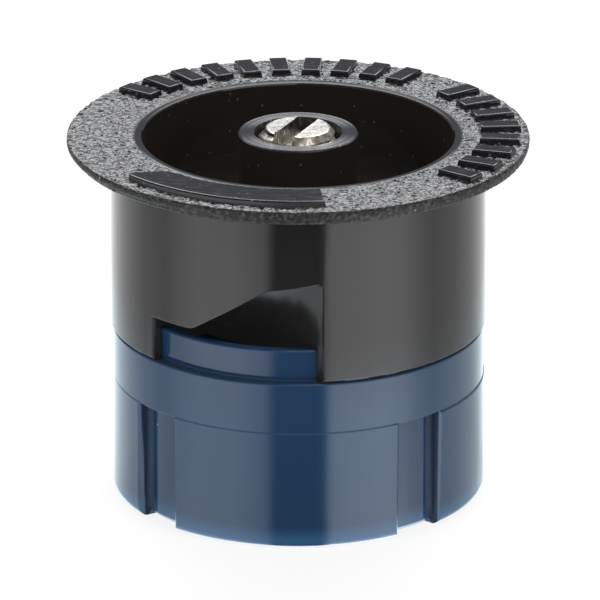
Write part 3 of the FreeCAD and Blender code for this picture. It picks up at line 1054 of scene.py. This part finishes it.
def buildCap():
    skinFoot, under, close = cap["flangeTop"] - cap["skinDepth"], cap["flangeUnder"], 0.004
    bm = copyOfSolid("nozzle_cap")
    raised = buildRaised(bm)
    # The flange's top, edges and side go, and what stands on it
    skin = []
    for face in bm.faces:
        places = [(reachOf(vertex), vertex.co.z / mm) for vertex in face.verts]
        onTop = all(reach > cap["lipInner"] - close and height > skinFoot for reach, height in places)
        onEdge = all(reach > cap["skinFrom"] and height > under - close for reach, height in places)
        if onTop or onEdge:
            skin.append(face)
    bmesh.ops.delete(bm, geom=skin, context="FACES")
    openRing = [vertex for vertex in bm.verts if vertex.is_boundary]
    lipRing = [vertex for vertex in openRing if vertex.co.z / mm > skinFoot]
    underRing = [vertex for vertex in openRing if vertex.co.z / mm < skinFoot]
    for vertex in underRing:
        vertex.co.xy *= cap["underFrom"] * mm / vertex.co.xy.length
    easeCapShape(bm)
    sharpenEdges(bm, cap["smoothAngle"])
    finishCapFaces(bm)
    pressFlange(bm, lipRing, underRing)
    bmesh.ops.recalc_face_normals(bm, faces=bm.faces)
    mesh = meshOf("raised", raised)
    bm.from_mesh(mesh)
    bpy.data.meshes.remove(mesh)
    piece = addPiece("nozzleCap", bm, "nozzle_body", capFinishes)
    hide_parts("nozzle_cap")


buildCap()
print("cap built")

# Screw: thread all along, a worn cone at the top and a slot with burred edges
screw = {
    "top": 22.92,
    "length": 15.875,
    "crest": 2.4,
    "root": 1.95,
    "pitch": 0.794,
    # Shares of the pitch: half the flat at the root, doubled, and the flank beside it
    "rootFlat": 0.15,
    "flank": 0.7,
    "cone": 0.54,
    "coneHeight": 0.6,
    # Depth and scale of each noise in the top's edge
    "coneNoise": ((0.06, 2.6), (0.025, 9.0)),
    "tip": 0.6,
    "topWear": 0.02,
    "sideWear": 0.012,
    "columns": 144,
    "rowsPerTurn": 10,
    "topRings": 34,
    "slotWidth": 1.33,
    "slotDepth": 1.1,
    "slotTurn": 66.0,
    "slotShift": 0.11,
    "slotRagged": 0.035,
    "burrHeight": 0.04,
    "burrWidth": 0.09,
    # The bar that cuts the slot: height above the screw, half its length, and steps along, up and across
    "barAbove": 0.6,
    "barReach": 3.0,
    "barSteps": (100, 14, 10),
}


def slotAside(point):
    # Distance across the slot from its middle, which lies a little left of the axis
    turn = math.radians(screw["slotTurn"])
    return point.y * math.cos(turn) - point.x * math.sin(turn) - screw["slotShift"]


def flatRadius(turn):
    # Radius of the screw's top, worn unevenly
    place, radius = aroundAxis(1.0, turn, 0.3), screw["crest"] - screw["cone"]
    for depth, scale in screw["coneNoise"]:
        radius += depth * noise.noise(place * scale)
    return radius


def screwRadius(turn, height):
    crest, root = screw["crest"], screw["root"]
    phase = (height / screw["pitch"] - turn / math.tau) % 1.0
    ridge = clamp((1.0 - abs(2.0 * phase - 1.0) - screw["rootFlat"]) / screw["flank"])
    below, flat = screw["top"] - height, flatRadius(turn)
    reach = min(root + (crest - root) * ridge, flat + (crest - flat) * below / screw["coneHeight"])
    above = height - (screw["top"] - screw["length"])
    return min(reach, root - screw["tip"] + above)


def capRing(bm, ring, height):
    middle = bm.verts.new((0.0, 0.0, height * mm))
    for column, vertex in enumerate(ring):
        bm.faces.new((vertex, ring[(column + 1) % len(ring)], middle))


def screwBody():
    # Closed body of turned rings, without its slot
    bm = bmesh.new()
    top, tip = screw["top"], screw["top"] - screw["length"]
    rings = []
    for number in range(1, screw["topRings"] + 1):
        points = []
        for turn in turnsOf(screw["columns"]):
            point = aroundAxis(flatRadius(turn) * number / screw["topRings"], turn, top)
            beyond = abs(slotAside(point)) - screw["slotWidth"] / 2
            burr = math.exp(-((beyond / screw["burrWidth"]) ** 2))
            wear = halfNoise(point, 2.4)
            point.z -= screw["burrHeight"] * (1.0 - burr * halfNoise(point, 6.0))
            point.z -= screw["topWear"] * wear
            points.append(point)
        rings.append(addRing(bm, points))
    rows = round(screw["length"] / screw["pitch"] * screw["rowsPerTurn"])
    for row in range(1, rows + 1):
        height = top - (top - tip) * row / rows
        points = []
        for turn in turnsOf(screw["columns"]):
            reach = screwRadius(turn, height)
            reach -= screw["sideWear"] * halfNoise(aroundAxis(reach, turn, height), 5.0)
            points.append(aroundAxis(reach, turn, height))
        rings.append(addRing(bm, points))
    bridgeRings(bm, rings)
    capRing(bm, rings[0], top - screw["burrHeight"])
    capRing(bm, rings[-1], tip)
    bmesh.ops.recalc_face_normals(bm, faces=bm.faces)
    return bm


def slotCutter():
    # Long bar with ragged walls that cuts the slot
    bm = bmesh.new()
    half, bottom = screw["slotWidth"] / 2, screw["top"] - screw["slotDepth"]
    above, reach = screw["top"] + screw["barAbove"], screw["barReach"]
    stations, up, wide = screw["barSteps"]
    section = [(-half, above + (bottom - above) * step / up) for step in range(up)]
    section += [(-half + 2 * half * step / wide, bottom) for step in range(wide)]
    section += [(half, bottom + (above - bottom) * step / up) for step in range(up + 1)]
    turn = math.radians(screw["slotTurn"])
    along, across = aroundAxis(1.0, turn, 0.0), Vector((-math.sin(turn), math.cos(turn), 0.0))
    rings = []
    for station in range(stations + 1):
        points = []
        for side, height in section:
            shift = side + screw["slotShift"]
            point = along * (-reach + 2 * reach * station / stations) + across * shift
            point.z = height
            ragged = noise.noise(Vector((point.x * 5.0, point.y * 5.0, point.z * 1.6)))
            ragged += 0.5 * noise.noise(point * 11.0)
            if abs(side) > half - 0.01:
                point += across * ragged * screw["slotRagged"]
            else:
                point.z += ragged * screw["slotRagged"]
            points.append(point)
        rings.append(addRing(bm, points))
    closeTube(bm, rings)
    return bm


def buildScrew():
    body = addPiece("radiusScrew", screwBody(), "screw", ("steel",))
    cutterMesh = meshOf("slotCutter", slotCutter())
    cutter = addObject("slotCutter", cutterMesh)
    slot = body.modifiers.new("slot", "BOOLEAN")
    slot.operation = "DIFFERENCE"
    slot.solver = "EXACT"
    slot.object = cutter
    graph = bpy.context.evaluated_depsgraph_get()
    slotted = bpy.data.meshes.new_from_object(body.evaluated_get(graph))
    body.modifiers.clear()
    bpy.data.objects.remove(cutter)
    bpy.data.meshes.remove(cutterMesh)
    bm = bmesh.new()
    bm.from_mesh(slotted)
    bmesh.ops.remove_doubles(bm, verts=bm.verts, dist=1e-7)
    sharpenEdges(bm, 32.0)
    bm.to_mesh(body.data)
    bm.free()
    bpy.data.meshes.remove(slotted)
    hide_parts("radius_screw")


# Base: the CAD moulding a hair fuller, with painted shade and some dirt in the inner corners of its grip
# recesses, on its shoulder and on the right pads' tops
base = {
    "bandRadius": 11.2,
    "bandMore": 0.1,
    "padRadius": 11.3,
    "padMore": 0.04,
    "padTop": 7.36,
    "shoulder": 10.53,
    "recessFloor": 10.57,
    "dirtAndShadeTo": (11.0, 11.17),
    # A face turned this straight to the axis is no corner
    "straight": 0.999,
    # The fuller pads fade out to the left
    "fadeFrom": -11.2,
    "fadeWidth": 1.2,
    "fadeLeast": 0.12,
    "rightPad": 8.3,
    "rightPadFrom": 11.0,
    "rightPadLower": 0.16,
}


def buildBase():
    bm = copyOfSolid("threaded_base")
    band, pad, floor = base["bandRadius"], base["padRadius"], base["recessFloor"]
    padTop, right, inner = base["padTop"], base["rightPad"], base["rightPadFrom"]
    dirtAndShade = []
    for face in bm.faces:
        middle, normal = middleOf(face), face.normal
        towards = abs(normal.xy.normalized().dot(middle.xy.normalized())) if abs(normal.z) < 0.5 else 1.0
        inRecess = floor - 0.02 < middle.xy.length < base["dirtAndShadeTo"][middle.x > 0] and middle.z < padTop
        onShoulder = near(middle.z, base["shoulder"])
        onPad = near(middle.z, padTop) and middle.x > right
        if inRecess and towards < base["straight"] or normal.z > 0.9 and (onShoulder or onPad):
            dirtAndShade.append(face)
    for vertex in bm.verts:
        x, reach, height = vertex.co.x / mm, reachOf(vertex), vertex.co.z / mm
        if height > padTop - 0.01 and near(reach, band, 0.09):
            pushOut(vertex, base["bandMore"])
        elif height < padTop + 0.01 and reach > floor:
            fade = clamp((x - base["fadeFrom"]) / base["fadeWidth"], base["fadeLeast"])
            pushOut(vertex, base["padMore"] * fade * (reach - floor) / (pad - floor))
            if x > right and height > padTop - 0.01 and vertex.co.y < 0 and reach > inner:
                vertex.co.z -= base["rightPadLower"] * (reach - inner) / (pad - inner) * mm
    sharpenEdges(bm, 30.0)
    # Painted shade, with some dirt, on these faces: they take the dim groove finish
    for face in dirtAndShade:
        face.material_index = 1
    piece = addPiece("threadedBase", bm, "nozzle_body", ("blue", "groove"))
    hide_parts("threaded_base")


# Female thread in the base's bore, a right-handed ridge that fades out at both ends
thread = {
    "wall": 8.53,
    "crest": 8.05,
    "pitch": 0.9,
    "start": 0.75,
    "end": 6.2,
    "foot": 0.8,
    "land": 0.14,
    "steps": 120,
    "fade": 0.35,
    "least": 0.02,
}


def buildBaseThread():
    bm = bmesh.new()
    wall, pitch, steps = thread["wall"], thread["pitch"], thread["steps"]
    stations = round((thread["end"] - thread["start"]) / pitch * steps)
    foot, land = thread["foot"] / 2, thread["land"] / 2
    rings = []
    for station in range(stations + 1):
        turn = math.tau * station / steps
        height = thread["start"] + pitch * station / steps
        full = clamp(min(station, stations - station) / (thread["fade"] * steps), thread["least"])
        rise = full * (wall - thread["crest"])
        section = ((0.0, -foot), (rise, -land), (rise, land), (0.0, foot))
        rings.append(addRing(bm, [aroundAxis(wall - inward, turn, height + up) for inward, up in section]))
    closeTube(bm, rings)
    sharpenEdges(bm, 35.0)
    addPiece("baseThread", bm, "nozzle_body", ("blue",))


buildScrew()
print("screw built")
buildBase()
buildBaseThread()
print("base and its thread built")

bpy.context.scene.view_settings.view_transform = "Standard"
